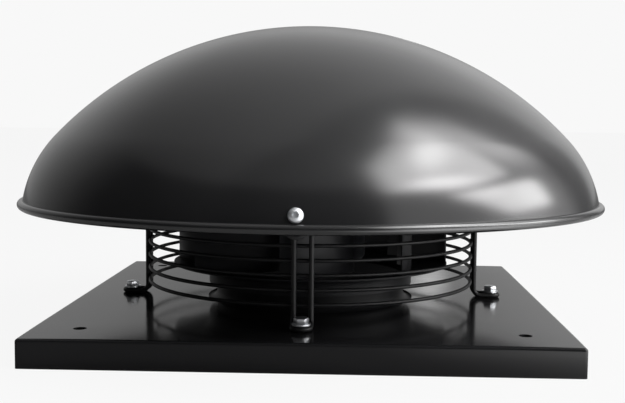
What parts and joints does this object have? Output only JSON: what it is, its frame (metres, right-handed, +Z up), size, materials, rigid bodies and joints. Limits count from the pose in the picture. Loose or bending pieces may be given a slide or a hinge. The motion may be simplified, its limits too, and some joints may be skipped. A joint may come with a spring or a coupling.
{
  "type": "roof exhaust fan",
  "caption": "Square-based roof exhaust fan with a wire discharge guard and a spun black cowl over a motor-driven backward-curved impeller.",
  "frame": {"origin": "centre of the square base plate at its lower rim", "axes": "+Z up along the impeller's axis, +X to the right and -Y to the front, both square to the plate's sides"},
  "size_m": [0.5, 0.5, 0.257],
  "materials": {
    "black_coat": "semi-gloss black powder coat",
    "bright_zinc": "bright zinc plated",
    "impeller_paint": "satin black paint on steel sheet",
    "motor_casting": "die-cast, dark passivated",
    "bearing_steel": "ground and polished",
    "lamination": "punched sheet edges",
    "winding_copper": "varnished copper wire",
    "black_rubber": "moulded",
    "box_plastic": "fine-textured moulding",
    "gland_plastic": "moulded polyamide",
    "capacitor_case": "drawn can",
    "strap_zinc": "zinc plated strip"
  },
  "bodies": {
    "housing": {"base_plate": "black_coat", "cowl": "black_coat", "motor_plate": "black_coat", "arm_clamps": "black_coat", "inlet_nozzle": "black_coat", "guard_stay_right": "black_coat", "guard_stay_back": "black_coat", "guard_stay_left": "black_coat", "guard_stay_front": "black_coat", "guard_ring_1": "black_coat", "guard_ring_2": "black_coat", "guard_ring_3": "black_coat", "guard_ring_4": "black_coat", "guard_ring_5": "black_coat", "guard_ring_6": "black_coat", "foot_bolts": "bright_zinc", "foot_washers": "bright_zinc", "foot_nuts": "bright_zinc", "cowl_screws": "bright_zinc", "cowl_nuts": "bright_zinc", "eye_washers": "bright_zinc", "clamp_bolts": "bright_zinc", "clamp_nuts": "bright_zinc", "motor_screws": "bright_zinc", "lid_screws": "bright_zinc", "strap_screws": "bright_zinc", "motor_flange": "motor_casting", "bearing_lower": "bearing_steel", "bearing_upper": "bearing_steel", "stator_core": "lamination", "stator_windings": "winding_copper", "cowl_gaskets": "black_rubber", "lead_grommet": "black_rubber", "terminal_box": "box_plastic", "terminal_lid": "box_plastic", "cable_gland": "gland_plastic", "run_capacitor": "capacitor_case", "capacitor_strap": "strap_zinc"},
    "rotor": {"shaft": "bearing_steel", "circlip": "bearing_steel", "rotor_can": "motor_casting", "rotor_cage": "lamination", "impeller_back_plate": "impeller_paint", "impeller_screws": "bright_zinc", "impeller_front_shroud": "impeller_paint", "impeller_blade_1": "impeller_paint", "impeller_blade_2": "impeller_paint", "impeller_blade_3": "impeller_paint", "impeller_blade_4": "impeller_paint", "impeller_blade_5": "impeller_paint", "impeller_blade_6": "impeller_paint", "impeller_blade_7": "impeller_paint", "impeller_blade_8": "impeller_paint"}
  },
  "joints": [
    {"name": "impeller_spin", "type": "hinge", "parent": "housing", "child": "rotor", "pos_m": [0, 0, 0.0965], "axis": [0, 0, 1], "continuous": true}
  ]
}
